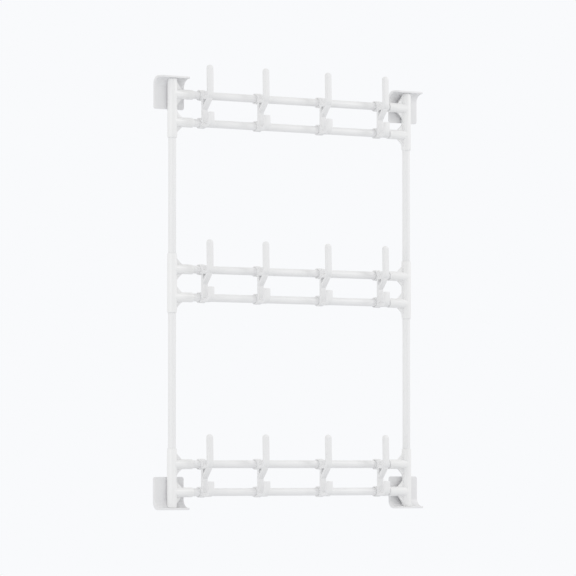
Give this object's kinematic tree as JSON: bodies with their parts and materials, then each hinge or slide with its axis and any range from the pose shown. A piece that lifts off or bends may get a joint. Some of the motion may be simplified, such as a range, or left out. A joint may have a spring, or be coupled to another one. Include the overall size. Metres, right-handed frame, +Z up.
{
  "type": "wall mounted hook rack",
  "caption": "Wall rack of white steel tubes in moulded corner fittings, with tiers of paired bars and clip-on double hooks that slide along them.",
  "frame": {"origin": "on the wall plane, midway between the two uprights and level with the foot of the lower brackets", "axes": "+X to the viewer's right along the wall, +Y into the wall, +Z up; the room is on the -Y side"},
  "size_m": [0.6916, 0.053, 0.9069],
  "materials": {
    "coated_tube": "smooth white powder coat, satin",
    "fitting_plastic": "moulded white plastic, satin",
    "bracket_plastic": "moulded white plastic, satin",
    "hook_plastic": "moulded white plastic, satin",
    "pad_foam": "white closed-cell foam tape, matt"
  },
  "bodies": {
    "frame": {"fitting_bottom_left": "fitting_plastic", "fitting_bottom_right": "fitting_plastic", "fitting_mid_left": "fitting_plastic", "fitting_mid_right": "fitting_plastic", "fitting_top_left": "fitting_plastic", "fitting_top_right": "fitting_plastic", "upright_lower_left": "coated_tube", "upright_lower_right": "coated_tube", "upright_upper_left": "coated_tube", "upright_upper_right": "coated_tube", "bar_bottom_lower": "coated_tube", "bar_bottom_upper": "coated_tube", "bar_mid_lower": "coated_tube", "bar_mid_upper": "coated_tube", "bar_top_lower": "coated_tube", "bar_top_upper": "coated_tube", "wall_bracket_bottom_left": "bracket_plastic", "wall_bracket_bottom_right": "bracket_plastic", "wall_bracket_top_left": "bracket_plastic", "wall_bracket_top_right": "bracket_plastic", "adhesive_pad_bottom_left": "pad_foam", "adhesive_pad_bottom_right": "pad_foam", "adhesive_pad_top_left": "pad_foam", "adhesive_pad_top_right": "pad_foam"},
    "hook_bottom_1": {"hook_bottom_1": "hook_plastic"},
    "hook_bottom_2": {"hook_bottom_2": "hook_plastic"},
    "hook_bottom_3": {"hook_bottom_3": "hook_plastic"},
    "hook_bottom_4": {"hook_bottom_4": "hook_plastic"},
    "hook_mid_1": {"hook_mid_1": "hook_plastic"},
    "hook_mid_2": {"hook_mid_2": "hook_plastic"},
    "hook_mid_3": {"hook_mid_3": "hook_plastic"},
    "hook_mid_4": {"hook_mid_4": "hook_plastic"},
    "hook_top_1": {"hook_top_1": "hook_plastic"},
    "hook_top_2": {"hook_top_2": "hook_plastic"},
    "hook_top_3": {"hook_top_3": "hook_plastic"},
    "hook_top_4": {"hook_top_4": "hook_plastic"}
  },
  "joints": [
    {"name": "hook_bottom_1_slide", "type": "slide", "parent": "frame", "child": "hook_bottom_1", "axis": [1, 0, 0], "range_m": [-0.016, 0.06]},
    {"name": "hook_bottom_2_slide", "type": "slide", "parent": "frame", "child": "hook_bottom_2", "axis": [1, 0, 0], "range_m": [-0.06, 0.06]},
    {"name": "hook_bottom_3_slide", "type": "slide", "parent": "frame", "child": "hook_bottom_3", "axis": [1, 0, 0], "range_m": [-0.06, 0.06]},
    {"name": "hook_bottom_4_slide", "type": "slide", "parent": "frame", "child": "hook_bottom_4", "axis": [1, 0, 0], "range_m": [-0.06, 0.023]},
    {"name": "hook_mid_1_slide", "type": "slide", "parent": "frame", "child": "hook_mid_1", "axis": [1, 0, 0], "range_m": [-0.016, 0.06]},
    {"name": "hook_mid_2_slide", "type": "slide", "parent": "frame", "child": "hook_mid_2", "axis": [1, 0, 0], "range_m": [-0.06, 0.06]},
    {"name": "hook_mid_3_slide", "type": "slide", "parent": "frame", "child": "hook_mid_3", "axis": [1, 0, 0], "range_m": [-0.06, 0.06]},
    {"name": "hook_mid_4_slide", "type": "slide", "parent": "frame", "child": "hook_mid_4", "axis": [1, 0, 0], "range_m": [-0.06, 0.023]},
    {"name": "hook_top_1_slide", "type": "slide", "parent": "frame", "child": "hook_top_1", "axis": [1, 0, 0], "range_m": [-0.016, 0.06]},
    {"name": "hook_top_2_slide", "type": "slide", "parent": "frame", "child": "hook_top_2", "axis": [1, 0, 0], "range_m": [-0.06, 0.06]},
    {"name": "hook_top_3_slide", "type": "slide", "parent": "frame", "child": "hook_top_3", "axis": [1, 0, 0], "range_m": [-0.06, 0.06]},
    {"name": "hook_top_4_slide", "type": "slide", "parent": "frame", "child": "hook_top_4", "axis": [1, 0, 0], "range_m": [-0.06, 0.023]}
  ]
}
